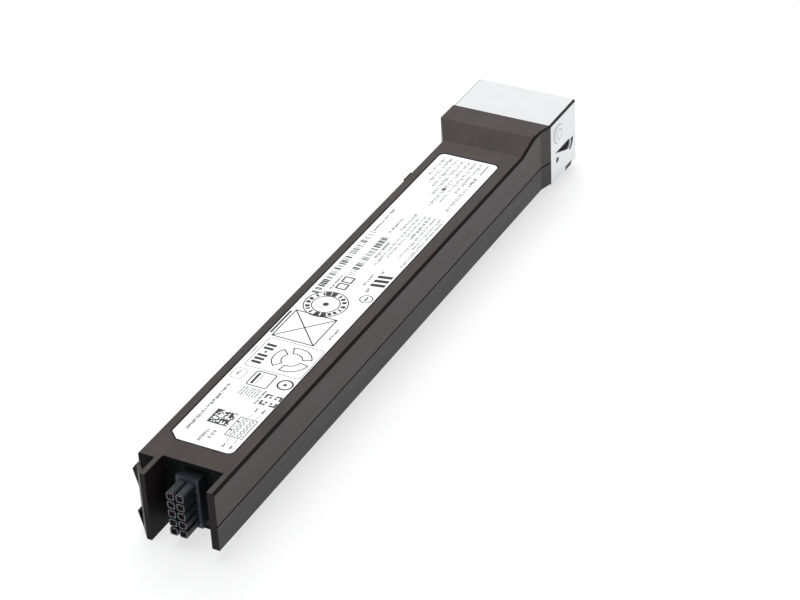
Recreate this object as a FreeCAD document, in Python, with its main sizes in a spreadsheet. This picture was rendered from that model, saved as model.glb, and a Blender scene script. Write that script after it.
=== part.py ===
import FreeCAD, Part
import math
import os

import Sketcher
from FreeCAD import Placement, Rotation, Vector

# Battery module for a storage controller. Two moulded half shells hold six round cells in two rows,
# a control board and a standing connector board. A folded steel cap covers the far end.
# Case frame: x from the left side of the body, y from the front of the right-hand wall tip towards
# the cap, z up from the flat underside. Every sub-part is placed so that the row's origin is in the
# middle of the module's underside.

DRIVING_SIZES = {
    # Body section
    "rail_height": 4.7,
    "rail_inset": 3.35,
    "side_wall": 1.5,
    "skin": 1.8,
    "edge_round": 1.5,
    "left_edge_round": 0.8,
    "belly_round": 0.8,
    "seam_gap": 0.7,
    "seam_gap_depth": 0.8,
    "wire_room": 4.95,
    # Connector end
    "shoulder_setback": 10.3,
    "notch_lip": 1.7,
    "prong_left": 7.5,
    "prong_thickness": 2.2,
    "prong_reach": 0.6,
    "hook_setback": 3.9,
    "hook_wall": 2.2,
    "key_tip": 1.3,
    "key_rise": 2.8,
    "key_drop": 8.0,
    "lower_key_above_rail": 3.8,
    "key_rim": 0.9,
    "key_recess": 1.6,
    # Head
    "ramp_run": 12.3,
    "head_rise": 3.4,
    "flare_left": 7.35,
    "flare_right": 1.87,
    "ramp_to_flare": 18.5,
    "ramp_to_cap": 25.2,
    "cap_length": 27.8,
    "cap_sheet": 0.8,
    "cap_clearance": 0.1,
    "cap_bend": 1.4,
    "cap_below_rail": 0.9,
    # Label
    "label_left": 4.36,
    "label_to_right": 6.34,
    "label_start": 23.4,
    "label_to_ramp": 10.4,
    "label_corner": 3.0,
    "label_chamfer_across": 4.4,
    "label_chamfer_along": 3.9,
    "label_recess": 0.3,
    "label_film": 0.15,
    "label_margin": 0.25,
    # Connector
    "silo_pitch": 4.2,
    "silo_width": 3.5,
    "silo_bore": 2.4,
    "silo_length": 8.9,
    "silo_corner": 0.55,
    "bore_corner": 0.3,
    "silo_bottom_row": 7.4,
    "connector_offset": 2.1,
    "silo_depth": 7.6,
    "flange_thickness": 1.4,
    "flange_margin": 1.2,
    "housing_block": 4.0,
    "socket_width": 1.9,
    "socket_bore": 1.2,
    "socket_setback": 1.0,
    "tail_width": 0.7,
    "tail_hole": 1.1,
    "tail_stub": 1.2,
    # Boards and their components
    "board_thickness": 1.6,
    "board_slot_depth": 0.8,
    "board_clearance": 0.15,
    "board_rib": 1.5,
    "boss_to_board": 2.2,
    "control_board_length": 33.2,
    "control_board_height": 12.0,
    "control_board_side_gap": 0.9,
    "tongue_front": 18.4,
    "tongue_width": 15.0,
    "post_half_width": 2.4,
    "post_inset": 3.4,
    "link_header_offset": 6.4,
    "link_header_depth": 3.0,
    "link_pin_height": 1.7,
    "link_pin_pitch": 2.0,
    "link_pin_width": 0.64,
    "pin_hole_gap": 0.1,
    "lead_header_depth": 5.0,
    "lead_header_height": 10.4,
    "lead_header_width": 20.0,
    "charger_side": 8.0,
    "gauge_side": 6.0,
    "chip_height": 1.1,
    "inductor_side": 9.0,
    "inductor_height": 4.5,
    "fuse_width": 8.0,
    "fuse_length": 5.0,
    "fuse_height": 2.4,
    "transistor_width": 4.6,
    "transistor_length": 4.0,
    "resistor_width": 3.2,
    "resistor_length": 2.4,
    "resistor_height": 0.6,
    "capacitor_width": 1.6,
    "capacitor_length": 1.0,
    "capacitor_height": 0.9,
    # Cells
    "cell_radius": 9.15,
    "cell_length": 65.0,
    "row_gap": 0.1,
    "cell_gap": 1.9,
    "cell_side_gap": 0.15,
    "cell_floor_gap": 0.05,
    "wire_bend_room": 1.5,
    "stop_rib": 1.5,
    "stop_rib_setback": 1.0,
    "cradle_thickness": 1.6,
    "cradle_clearance": 0.1,
    "cradle_below_seam": 3.0,
    "strip_thickness": 0.2,
    "strip_width": 8.0,
    "foam_thickness": 2.5,
    # Screws
    "screw_radius": 1.2,
    "screw_clearance": 0.1,
    "screw_head_radius": 2.4,
    "screw_head_height": 1.8,
    "screw_recess": 3.0,
    "screw_engagement": 7.0,
    "boss_half_width": 3.3,
    "boss_into_wall": 0.2,
    # Cap details
    "lance_setback": 4.4,
    "lance_length": 13.6,
    "lance_above_rail": 13.5,
    "lance_round": 2.6,
    "lance_lip": 0.9,
    "lance_slit": 2.6,
    "lance_pocket": 0.9,
    "lance_margin": 1.2,
    "edge_notch_setback": 15.5,
    "edge_notch_length": 6.6,
    "edge_notch_height": 1.5,
    "edge_tab_clearance": 0.2,
    "edge_tab_root": 0.6,
    "edge_tab_drop": 1.6,
    "rivet_setback": 7.8,
    "rivet_below_top": 8.0,
    "rivet_radius": 4.8,
    "rivet_dome": 0.8,
    "rivet_shank": 1.6,
    "pin_hole_radius": 1.4,
    "pin_hole_below_lance": 4.6,
    "pin_hole_setback": 6.8,
    "nub_to_ramp": 36.2,
    "nub_length": 6.4,
    "nub_below_roof": 1.1,
    "nub_height": 3.5,
    "nub_proud": 1.2,
    # Wires
    "lead_radius": 0.8,
    "lead_above_seam": 5.0,
    "sense_radius": 0.5,
    "sense_above_seam": 7.2,
    "sense_spread": 1.6,
    "channel_half_width": 2.7,
    "channel_top": 9.0,
    "channel_below": 6.4,
    "channel_low_half_width": 1.3,
    "thermistor_radius": 1.0,
    "thermistor_below_seam": 5.0,
    "thermistor_length": 5.0,
    "thermistor_setback": 25.2,
}

document = FreeCAD.newDocument("battery_module")
sheet = document.addObject("Spreadsheet::Sheet", "Sizes")
for row, (alias, number) in enumerate(DRIVING_SIZES.items(), start=1):
    sheet.set("A%d" % row, alias.replace("_", " "))
    sheet.set("B%d" % row, str(number))
    sheet.setAlias("B%d" % row, alias)
document.recompute()


class Size:
    """A length: its number, and the sheet expression that gives it."""

    def __init__(self, number, text):
        self.number = number
        self.text = text

    def __float__(self):
        return self.number

    def __neg__(self):
        return Size(-self.number, "-(%s)" % self.text)

    def __add__(self, other):
        other = as_size(other)
        return Size(self.number + other.number, "(%s + %s)" % (self.text, other.text))

    def __sub__(self, other):
        other = as_size(other)
        return Size(self.number - other.number, "(%s - %s)" % (self.text, other.text))

    def __mul__(self, factor):
        return Size(self.number * factor, "(%s * %r)" % (self.text, float(factor)))

    __radd__ = __add__
    __rmul__ = __mul__

    def __rsub__(self, other):
        return as_size(other) - self

    def __truediv__(self, divisor):
        return self * (1.0 / divisor)


def as_size(value):
    return value if isinstance(value, Size) else Size(float(value), repr(float(value)))


class Sizes:
    """The sheet's cells, each as a Size under its own name."""

    def __init__(self, names):
        for name in names:
            setattr(self, name, Size(float(sheet.get(name)), "Sizes." + name))


S = Sizes(DRIVING_SIZES)

# Heights
rail = S.rail_height
seam = rail + S.skin + S.cell_floor_gap + S.cell_radius
roof_inside = seam + S.cell_radius + S.wire_room
roof = roof_inside + S.skin
head_top = roof + S.head_rise
floor_top = S.skin
board_top = S.control_board_height + S.board_thickness

# Places across
middle = S.side_wall + S.cell_side_gap + S.cell_radius * 2 + S.row_gap / 2
body_right = middle * 2
inner_left = S.side_wall
inner_right = body_right - S.side_wall
belly_left = S.rail_inset
belly_right = body_right - S.rail_inset
prong_right = S.prong_left + S.prong_thickness
head_left = -S.flare_left
head_right = body_right + S.flare_right
cap_offset = S.cap_sheet + S.cap_clearance
label_right = body_right - S.label_to_right
connector_middle = middle + S.connector_offset

# Counts: cells in a row, and the connector's silos across and up
STATIONS = 3
COLUMNS = 2
ROWS = 5

# Places along, from the connector to the cap
hook_front = S.hook_setback
hook_back = S.hook_setback + S.hook_wall
board_front = S.silo_length + S.flange_thickness + S.housing_block
board_back = board_front + S.board_thickness
slot_back = board_back + S.board_clearance
rib_back = slot_back + S.board_rib
front_screws = rib_back + S.boss_half_width - S.board_rib / 2
control_start = front_screws + S.boss_half_width + S.boss_to_board
control_end = control_start + S.control_board_length
stop_rib_front = control_end + S.wire_bend_room
cell_start = stop_rib_front + S.stop_rib + S.stop_rib_setback
station_pitch = S.cell_length + S.cell_gap
cells_end = cell_start + S.cell_length * STATIONS + S.cell_gap * (STATIONS - 1)
rear_wall = cells_end + S.strip_thickness + S.foam_thickness
ramp_start = rear_wall + S.side_wall
ramp_end = ramp_start + S.ramp_run
flare_start = ramp_start + S.ramp_to_flare
cap_start = ramp_start + S.ramp_to_cap
head_end = cap_start + S.cap_length
plastic_end = head_end - cap_offset
label_end = ramp_start - S.label_to_ramp
thermistor_start = cell_start + S.thermistor_setback

home_x = -(body_right + S.flare_right - S.flare_left) / 2
home_y = -(head_end - S.prong_reach) / 2
HOME = Vector(float(home_x), float(home_y), 0)

parts = {}


def settle(item, label, base=(0, 0, 0)):
    """Names a finished sub-part and places it, with base given in the case frame."""
    x, y, z = (as_size(value) for value in base)
    item.Label = label
    item.setExpression("Placement.Base.x", (home_x + x).text)
    item.setExpression("Placement.Base.y", (home_y + y).text)
    item.setExpression("Placement.Base.z", z.text)
    parts[label] = item


def settle_shape(shape, label):
    """A sub-part whose shape comes from the shape functions, in the case frame."""
    item = document.addObject("Part::Feature", "Shape_" + label)
    item.Shape = shape
    item.Placement = Placement(HOME, Rotation())
    item.Label = label
    parts[label] = item


def new_body(name):
    return document.addObject("PartDesign::Body", name)


def origin_part(body, role):
    return [item for item in body.Origin.OriginFeatures if item.Role == role][0]


def new_sketch(body, name, plane, level=0):
    """A sketch on one of the body's own planes, moved along the plane's normal by level."""
    sketch = body.newObject("Sketcher::SketchObject", name)
    sketch.AttachmentSupport = (origin_part(body, plane), [""])
    sketch.MapMode = "FlatFace"
    level = as_size(level)
    if plane == "XZ_Plane":
        level = -level
    sketch.setExpression("AttachmentOffset.Base.z", level.text)
    return sketch


def constrain(sketch, joined, measured):
    """Adds joints between points, then measures, each as (constraint, size it is bound to)."""
    sketch.addConstraint(joined + [constraint for constraint, size in measured])
    for index, (constraint, size) in enumerate(measured, start=len(joined)):
        if size.text != repr(size.number):
            sketch.setExpression("Constraints[%d]" % index, size.text)


def point_at(geometry, point, x, y):
    """The two measures that fix one point of a sketch by its coordinates."""
    return [(Sketcher.Constraint(kind, -1, 1, geometry, point, float(value)), as_size(value))
            for kind, value in (("DistanceX", x), ("DistanceY", y))]


def outlines(body, name, plane, loops, level=0):
    """Closed outlines of straight lines, one through the corners of each loop."""
    sketch = new_sketch(body, name, plane, level)
    joined = []
    measured = []
    for corners in loops:
        first = sketch.GeometryCount
        points = [Vector(float(x), float(y), 0) for x, y in corners]
        count = len(points)
        sketch.addGeometry([Part.LineSegment(points[index], points[(index + 1) % count])
                            for index in range(count)], False)
        for index, (x, y) in enumerate(corners):
            joined.append(Sketcher.Constraint("Coincident", first + index, 2,
                                              first + (index + 1) % count, 1))
            measured += point_at(first + index, 1, x, y)
    constrain(sketch, joined, measured)
    return sketch


def outline(body, name, plane, corners, level=0):
    return outlines(body, name, plane, [corners], level)


def box_corners(left, right, low, high):
    return [(left, low), (right, low), (right, high), (left, high)]


def rectangle(body, name, plane, left, right, low, high, level=0):
    return outline(body, name, plane, box_corners(left, right, low, high), level)


def square(centre, half):
    """The corners of a square about its centre."""
    x, y = centre
    return box_corners(x - half, x + half, y - half, y + half)


def circles(body, name, plane, centres, radius, level=0):
    sketch = new_sketch(body, name, plane, level)
    measured = []
    for index, (x, y) in enumerate(centres):
        centre = Vector(float(x), float(y), 0)
        sketch.addGeometry(Part.Circle(centre, Vector(0, 0, 1), float(radius)), False)
        measured += point_at(index, 3, x, y)
        measured.append((Sketcher.Constraint("Radius", index, float(radius)), as_size(radius)))
    constrain(sketch, [], measured)
    return sketch


def add(body, sketch, depth, reverse=False):
    """Pads a sketch. A sketch on the XZ plane is padded towards +y."""
    pad = body.newObject("PartDesign::Pad", "Pad_" + sketch.Name)
    pad.Profile = sketch
    pad.setExpression("Length", as_size(depth).text)
    pad.Reversed = reverse != ("XZ_Plane" == sketch.AttachmentSupport[0][0].Role)
    sketch.Visibility = False
    document.recompute()
    return pad


def cut(body, sketch, depth, reverse=False):
    """Pockets a sketch down, left or, on the XZ plane, towards +y, and proves that it cut."""
    before = body.Tip.Shape.Volume
    pocket = body.newObject("PartDesign::Pocket", "Pocket_" + sketch.Name)
    pocket.Profile = sketch
    pocket.setExpression("Length", as_size(depth).text)
    pocket.Reversed = reverse
    sketch.Visibility = False
    document.recompute()
    if pocket.Shape.Volume >= before:
        raise ValueError("%s cuts nothing" % sketch.Name)
    return pocket


def repeat(body, feature, axis, spacing, count):
    """A row of copies of a finished feature."""
    pattern = body.newObject("PartDesign::LinearPattern", "Row_" + feature.Name)
    pattern.Originals = [feature]
    pattern.Direction = (origin_part(body, axis), [""])
    pattern.Mode = "Spacing"
    pattern.setExpression("Offset", as_size(spacing).text)
    pattern.Occurrences = count
    body.Tip = pattern
    document.recompute()
    return pattern


def edge_names(feature, wanted):
    """The names of the edges whose middle point and direction pass a test."""
    names = []
    for index, edge in enumerate(feature.Shape.Edges, start=1):
        start = edge.valueAt(edge.FirstParameter)
        end = edge.valueAt(edge.LastParameter)
        if wanted((start + end) * 0.5, end - start):
            names.append("Edge%d" % index)
    return names


def soften(body, kind, wanted, size):
    """Fillets or chamfers the edges of the tip that pass a test."""
    base = body.Tip
    names = edge_names(base, wanted)
    feature = body.newObject("PartDesign::" + kind, kind)
    feature.Base = (base, names)
    feature.setExpression("Radius" if kind == "Fillet" else "Size", as_size(size).text)
    document.recompute()
    return feature


def near(value, size, tolerance=0.01):
    return abs(value - float(size)) < tolerance


# The two half shells share one outline in plan: body, flared head, stepped end under the cap,
# notch for the connector, and the angled hook in front of the left shoulder.
def case_outline():
    """Outer outline of a half shell, counter-clockwise from the prong's front."""
    return [
        (S.prong_left, -S.prong_reach),
        (prong_right, -S.prong_reach),
        (prong_right, board_front),
        (belly_right, board_front),
        (belly_right, 0),
        (body_right, 0),
        (body_right, flare_start),
        (head_right, cap_start),
        (head_right - cap_offset, cap_start),
        (head_right - cap_offset, plastic_end),
        (head_left + cap_offset, plastic_end),
        (head_left + cap_offset, cap_start),
        (head_left, cap_start),
        (head_left, ramp_end),
        (0, ramp_start),
        (0, S.shoulder_setback),
        (S.prong_left, S.shoulder_setback),
        (S.prong_left, hook_back - hook_front - S.prong_reach),
        (S.rail_inset, hook_back),
        (S.rail_inset, hook_front),
    ]


def belly_outline():
    """Outline of the deep middle of the lower shell, between the two rails."""
    return [
        (S.prong_left, -S.prong_reach),
        (prong_right, -S.prong_reach),
        (prong_right, board_front),
        (belly_right, board_front),
        (belly_right, plastic_end),
        (belly_left, plastic_end),
        (belly_left, S.shoulder_setback),
        (S.prong_left, S.shoulder_setback),
        (S.prong_left, hook_back - hook_front - S.prong_reach),
        (S.rail_inset, hook_back),
        (S.rail_inset, hook_front),
    ]


def head_room():
    """Plan of the hollow in the head, inside the flare."""
    left = head_left + cap_offset + S.side_wall
    right = head_right - cap_offset - S.side_wall
    return [
        (inner_left, ramp_start + S.side_wall),
        (inner_right, ramp_start + S.side_wall),
        (inner_right, cap_start),
        (right, cap_start + S.side_wall),
        (right, plastic_end - S.side_wall),
        (left, plastic_end - S.side_wall),
        (left, ramp_end + S.side_wall * 2),
        (inner_left, ramp_start + S.side_wall * 3),
    ]


def seam_bands():
    """Plan of the shadow gap that runs along both sides at the seam, up to the cap."""
    reach = S.flare_left
    depth = S.seam_gap_depth
    return [
        [
            (body_right - depth, -S.prong_reach),
            (body_right + reach, -S.prong_reach),
            (body_right + reach, cap_start),
            (head_right - depth, cap_start),
            (body_right - depth, flare_start),
        ],
        [
            (head_left - reach, S.shoulder_setback),
            (depth, S.shoulder_setback),
            (depth, ramp_start),
            (head_left + depth, ramp_end),
            (head_left + depth, cap_start),
            (head_left - reach, cap_start),
        ],
    ]


def board_slot(body, prefix, level, depth, reverse):
    """Slot for the standing connector board, open to the room behind it."""
    slot_left = prong_right - S.board_slot_depth
    slot_right = belly_right + S.board_slot_depth
    slot = rectangle(body, prefix + "_slot", "XY_Plane", slot_left, slot_right,
                     board_front, slot_back, level)
    cut(body, slot, depth, reverse)
    passage = rectangle(body, prefix + "_passage", "XY_Plane", prong_right + S.board_slot_depth,
                        belly_right - S.board_slot_depth, board_front, rib_back, level)
    cut(body, passage, depth, reverse)


def key_wedge(body, name, tip_height):
    """One guide key: a wedge that stands out of the hook's free end."""
    inner = S.rail_inset + S.key_rim
    corners = [
        (S.key_tip, tip_height),
        (S.rail_inset, tip_height + S.key_rise),
        (inner, tip_height + S.key_rise),
        (inner, tip_height - S.key_drop),
        (S.rail_inset, tip_height - S.key_drop),
    ]
    wedge = outline(body, name, "XZ_Plane", corners, hook_front)
    return add(body, wedge, S.hook_wall)


# Screw places: two in front of the control board and two behind the cells
screw_inset = S.side_wall + S.boss_half_width - S.boss_into_wall
screw_columns = (belly_left + screw_inset, belly_right - screw_inset)
screw_rows = (front_screws, ramp_start + screw_inset)
screw_places = [(x, y) for y in screw_rows for x in screw_columns]
screw_hole = S.screw_radius + S.screw_clearance

# Control board on four posts, held by screws in the front two
board_left = S.side_wall + S.control_board_side_gap
board_right = body_right - board_left
board_width = board_right - board_left
post_columns = (board_left + S.post_inset, board_right - S.post_inset)
post_rows = (control_start + S.post_inset + S.screw_head_radius, control_end - S.post_inset)
posts = [(x, y) for y in post_rows for x in post_columns]
post_screws = posts[:2]
post_hole_depth = S.control_board_height - S.skin * 2

cell_columns = (middle - S.cell_radius - S.row_gap / 2, middle + S.cell_radius + S.row_gap / 2)
cradle_radius = S.cell_radius + S.cradle_clearance
first_cradle = cell_start + S.cell_length / 2 - S.cradle_thickness / 2

# Cap details, each as a place along and a height
rivet_place = (cap_start + S.rivet_setback, head_top - S.rivet_below_top)
lance_start = cap_start + S.lance_setback
lance_top = rail + S.lance_above_rail
LANCE_TOP_ANGLE = 60
lance_centre = (lance_start + S.lance_length,
                lance_top - S.lance_round * math.sin(math.radians(LANCE_TOP_ANGLE)))
slit_end = lance_centre[0] + S.lance_round + S.lance_lip + S.lance_slit
slit_low = lance_centre[1] - S.lance_round - S.lance_slit
cap_low = rail - S.cap_below_rail
notch_start = cap_start + S.edge_notch_setback
notch_end = notch_start + S.edge_notch_length
notch_top = cap_low + S.edge_notch_height
pin_hole_place = (cap_start + S.pin_hole_setback, lance_top - S.pin_hole_below_lance)

silo_columns = [connector_middle + S.silo_pitch * (column - (COLUMNS - 1) / 2)
                for column in range(COLUMNS)]
silo_rows = [S.silo_bottom_row + S.silo_pitch * row for row in range(ROWS)]
silo_places = [(x, z) for z in silo_rows for x in silo_columns]
lowest_row = silo_places[:COLUMNS]

rib_left = inner_left / 2
rib_right = body_right - rib_left


def lower_rib():
    """Cross section of a rib in the lower shell, rooted in its floor, belly and rails."""
    half_wall = S.side_wall / 2
    half_skin = S.skin / 2
    high = seam - S.cradle_below_seam
    return [
        (rib_left, rail + half_skin),
        (belly_left + half_wall, rail + half_skin),
        (belly_left + half_wall, half_skin),
        (belly_right - half_wall, half_skin),
        (belly_right - half_wall, rail + half_skin),
        (rib_right, rail + half_skin),
        (rib_right, high),
        (rib_left, high),
    ]


def upper_rib():
    """Cross section of a rib in the upper shell, rooted in its roof and walls."""
    low = seam + S.cradle_below_seam
    high = roof_inside + S.skin / 2
    return [(rib_left, low), (rib_right, low), (rib_right, high), (rib_left, high)]


def cradles(body, prefix, section):
    """Cross ribs with round saddles that hold both rows of cells."""
    rib = outline(body, prefix + "_cradle", "XZ_Plane", section, first_cradle)
    repeat(body, add(body, rib, S.cradle_thickness), "Y_Axis", station_pitch, STATIONS)
    saddles = circles(body, prefix + "_saddles", "XZ_Plane", [(x, seam) for x in cell_columns],
                      cradle_radius, cell_start - S.cell_gap / 2)
    cut(body, saddles, cells_end - cell_start + S.cell_gap)


def lance_recess(body, prefix, low, high):
    """Shallow hollow in the head's right wall, behind the cap's half moon."""
    hollow = rectangle(body, prefix + "_lance_recess", "YZ_Plane", lance_start - S.lance_margin,
                       slit_end + S.lance_margin / 2, low, high, head_right - cap_offset)
    cut(body, hollow, S.lance_pocket)


def lower_case():
    """Lower shell: rails, belly, floor, cell cradles, screw bosses and board posts."""
    body = new_body("LowerCase")
    add(body, outline(body, "lower_rails", "XY_Plane", case_outline(), rail), seam - rail)
    add(body, outline(body, "lower_belly", "XY_Plane", belly_outline()), rail)
    soften(body, "Fillet", lambda point, run: near(point.z, 0) and near(run.z, 0)
           and abs(run.y) > float(S.cell_length), S.belly_round)
    tip_height = rail + S.lower_key_above_rail
    key_wedge(body, "lower_key", tip_height)
    recess_right = S.rail_inset + S.key_rim / 2
    recess_low = tip_height - S.key_drop + S.key_rim
    recess = outline(body, "lower_key_recess", "XZ_Plane", [
        (S.key_tip + S.key_rim, tip_height),
        (recess_right, tip_height + S.key_rise - S.key_rim * 1.5),
        (recess_right, recess_low),
        (S.rail_inset, recess_low),
    ], hook_front - S.hook_wall)
    cut(body, recess, S.hook_wall + S.key_recess)
    room_depth = seam - rail - S.skin
    cut(body, rectangle(body, "lower_room", "XY_Plane", inner_left, inner_right,
                        rib_back, rear_wall, seam), room_depth)
    cut(body, outline(body, "lower_head_room", "XY_Plane", head_room(), seam), room_depth)
    belly_inner_left = belly_left + S.side_wall
    belly_inner_right = belly_right - S.side_wall
    cut(body, outlines(body, "belly_rooms", "XY_Plane", [
        box_corners(belly_inner_left, belly_inner_right, rib_back, rear_wall),
        box_corners(belly_inner_left, belly_inner_right, ramp_start + S.side_wall,
                    plastic_end - S.side_wall),
    ], rail + S.skin), rail)
    board_slot(body, "lower", seam, seam - floor_top, False)
    cut(body, rectangle(body, "lower_shoulder_core", "XY_Plane", inner_left, S.prong_left,
                        S.shoulder_setback + S.side_wall, rib_back, seam), room_depth)
    cradles(body, "lower", lower_rib())
    add(body, outline(body, "cell_stop", "XZ_Plane", lower_rib(), stop_rib_front), S.stop_rib)
    channel = rectangle(body, "low_channel", "XZ_Plane", middle - S.channel_low_half_width,
                        middle + S.channel_low_half_width, seam - S.channel_below, seam,
                        stop_rib_front)
    cut(body, channel, thermistor_start + S.thermistor_length - stop_rib_front)
    add(body, outlines(body, "lower_bosses", "XY_Plane",
                       [square(place, S.boss_half_width) for place in screw_places],
                       floor_top / 2), seam - floor_top / 2)
    add(body, outlines(body, "board_posts", "XY_Plane",
                       [square(place, S.post_half_width) for place in posts], floor_top / 2),
        S.control_board_height - floor_top / 2)
    cut(body, circles(body, "screw_recesses", "XY_Plane", screw_places,
                      S.screw_head_radius + S.screw_clearance), S.screw_recess, True)
    cut(body, circles(body, "screw_holes", "XY_Plane", screw_places, screw_hole), seam, True)
    cut(body, circles(body, "post_holes", "XY_Plane", post_screws, screw_hole,
                      S.control_board_height), post_hole_depth)
    lance_recess(body, "lower", slit_low, seam)
    edge_tab = rectangle(body, "edge_tab", "YZ_Plane", notch_start + S.edge_tab_clearance,
                         notch_end - S.edge_tab_clearance, rail - S.edge_tab_drop,
                         notch_top - S.edge_tab_clearance,
                         head_right - cap_offset - S.edge_tab_root)
    add(body, edge_tab, cap_offset + S.edge_tab_root - S.edge_tab_clearance / 2)
    settle(body, "lower_case")


def label_outline(margin):
    """The label's outline, with its near left corner cut off."""
    left = S.label_left + margin
    right = label_right - margin
    near_end = S.label_start + margin
    far_end = label_end - margin
    return [
        (left + S.label_chamfer_across, near_end),
        (right, near_end),
        (right, far_end),
        (left, far_end),
        (left, near_end + S.label_chamfer_along),
    ]


def round_label_corners(body, radius):
    """Rounds the three square corners of the label's outline."""
    corners = [(label_right, S.label_start), (label_right, label_end), (S.label_left, label_end)]
    soften(body, "Fillet", lambda point, run: near(run.x, 0) and near(run.y, 0)
           and point.z > float(roof_inside)
           and any(near(point.x, x, 1) and near(point.y, y, 1) for x, y in corners), radius)


def upper_case():
    """Upper shell: roof with the label recess, ramp and raised head, walls, cradles, bosses."""
    body = new_body("UpperCase")
    add(body, outline(body, "upper_walls", "XY_Plane", case_outline(), seam),
        head_top - seam)
    width = head_right - head_left + S.skin * 2
    left_of_all = head_left - S.skin
    above = outline(body, "above_roof", "YZ_Plane", [
        (-S.skin * 2, roof),
        (ramp_start, roof),
        (ramp_end, head_top),
        (ramp_end, head_top + S.skin),
        (-S.skin * 2, head_top + S.skin),
    ], left_of_all)
    cut(body, above, width, True)
    under_cap = rectangle(body, "under_cap", "YZ_Plane", cap_start, head_end,
                          head_top - cap_offset, head_top + S.skin, left_of_all)
    cut(body, under_cap, width, True)
    soften(body, "Fillet", lambda point, run: near(point.x, body_right) and abs(run.y) > 1
           and point.z > float(roof) - 0.01 and point.y < float(flare_start), S.edge_round)
    soften(body, "Fillet", lambda point, run: near(point.x, 0) and near(point.z, roof),
           S.left_edge_round)
    lip = rectangle(body, "roof_lip", "XY_Plane", prong_right, belly_right,
                    board_front - S.notch_lip, board_front, roof_inside)
    add(body, lip, S.skin)
    cut(body, outlines(body, "seam_bands", "XY_Plane", seam_bands(), seam), S.seam_gap, True)
    key_wedge(body, "upper_key", roof - S.key_rise)
    room_rise = roof_inside - seam
    cut(body, rectangle(body, "upper_room", "XY_Plane", inner_left, inner_right,
                        rib_back, rear_wall, seam), room_rise, True)
    cut(body, outline(body, "upper_head_room", "XY_Plane", head_room(), seam), room_rise, True)
    cut(body, rectangle(body, "raised_room", "XY_Plane", inner_left, inner_right,
                        cap_start, plastic_end - S.side_wall, roof_inside),
        S.head_rise - cap_offset, True)
    board_slot(body, "upper", seam, room_rise, True)
    cut(body, rectangle(body, "upper_shoulder_core", "XY_Plane", inner_left, S.prong_left,
                        S.shoulder_setback + S.side_wall, rib_back, seam), room_rise, True)
    cradles(body, "upper", upper_rib())
    channel = rectangle(body, "lead_channel", "XZ_Plane", middle - S.channel_half_width,
                        middle + S.channel_half_width, seam, seam + S.channel_top, cell_start)
    cut(body, channel, cells_end - cell_start)
    add(body, outlines(body, "upper_bosses", "XY_Plane",
                       [square(place, S.boss_half_width) for place in screw_places], seam),
        room_rise + S.skin / 2)
    cut(body, circles(body, "pilot_holes", "XY_Plane", screw_places, screw_hole, seam),
        S.screw_engagement + 1, True)
    cut(body, circles(body, "rivet_holes", "YZ_Plane", [rivet_place],
                      S.rivet_shank + S.screw_clearance, left_of_all), width, True)
    lance_recess(body, "upper", seam, lance_top + S.lance_margin)
    nub_start = ramp_start - S.nub_to_ramp
    nub_top = roof - S.nub_below_roof
    nub = rectangle(body, "side_nub", "YZ_Plane", nub_start, nub_start + S.nub_length,
                    nub_top - S.nub_height, nub_top)
    add(body, nub, S.nub_proud, True)
    cut(body, outline(body, "label_recess", "XY_Plane", label_outline(0), roof), S.label_recess)
    round_label_corners(body, S.label_corner)
    settle(body, "upper_case")


def label():
    """Printed film label in the roof's recess."""
    body = new_body("Label")
    add(body, outline(body, "film", "XY_Plane", label_outline(S.label_margin),
                      roof - S.label_recess), S.label_film)
    round_label_corners(body, S.label_corner - S.label_margin)
    settle(body, "label")


def bend(centre, radius, angles):
    """Places on an arc about a centre, one at each angle in degrees."""
    along, height = centre
    return [(along + radius * math.cos(math.radians(angle)),
             height + radius * math.sin(math.radians(angle))) for angle in angles]


def lance_opening():
    """Outline of the half moon: a straight top edge, a slanting lower edge, a round far end."""
    end = bend(lance_centre, S.lance_round, range(-100, LANCE_TOP_ANGLE + 1, 20))
    return [(lance_start, lance_top)] + end


def lance_slit():
    """Outline of the crescent slit beyond the half moon's lip."""
    inner_radius = S.lance_round + S.lance_lip
    along, height = lance_centre
    outer_centre = (along + S.lance_slit * 0.3, height + S.lance_slit * 0.25)
    outer_radius = inner_radius + S.lance_slit * 0.7
    inner = bend(lance_centre, inner_radius, range(-70, 21, 18))
    outer = bend(outer_centre, outer_radius, range(-70, 11, 16))
    return inner + outer[::-1]


def end_cap():
    """Folded steel cap: top, sides and end, with a half moon and a slit in its right side."""
    body = new_body("EndCap")
    add(body, rectangle(body, "cap_plan", "XY_Plane", head_left, head_right,
                        cap_start, head_end, cap_low), head_top - cap_low)
    soften(body, "Fillet", lambda point, run: (near(point.y, head_end) and abs(run.y) < 0.01
           and (near(point.z, head_top) or abs(run.z) > float(S.cap_bend)))
           or (near(point.z, head_top) and abs(run.y) > float(S.cap_bend)), S.cap_bend)
    cut(body, rectangle(body, "cap_inside", "XY_Plane", head_left + S.cap_sheet,
                        head_right - S.cap_sheet, cap_start - S.cap_sheet,
                        head_end - S.cap_sheet, head_top - S.cap_sheet), head_top)
    outside = head_right + S.cap_sheet
    through = S.cap_sheet * 2
    edge_notch = box_corners(notch_start, notch_end, cap_low - S.cap_sheet, notch_top)
    cut(body, outlines(body, "right_side_openings", "YZ_Plane",
                       [lance_opening(), lance_slit(), edge_notch], outside), through)
    cut(body, circles(body, "pin_hole", "YZ_Plane", [pin_hole_place], S.pin_hole_radius,
                      outside), through)
    cut(body, circles(body, "cap_rivet_holes", "YZ_Plane", [rivet_place],
                      S.rivet_shank + S.screw_clearance, outside),
        head_right - head_left + through)
    settle(body, "end_cap")


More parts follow.
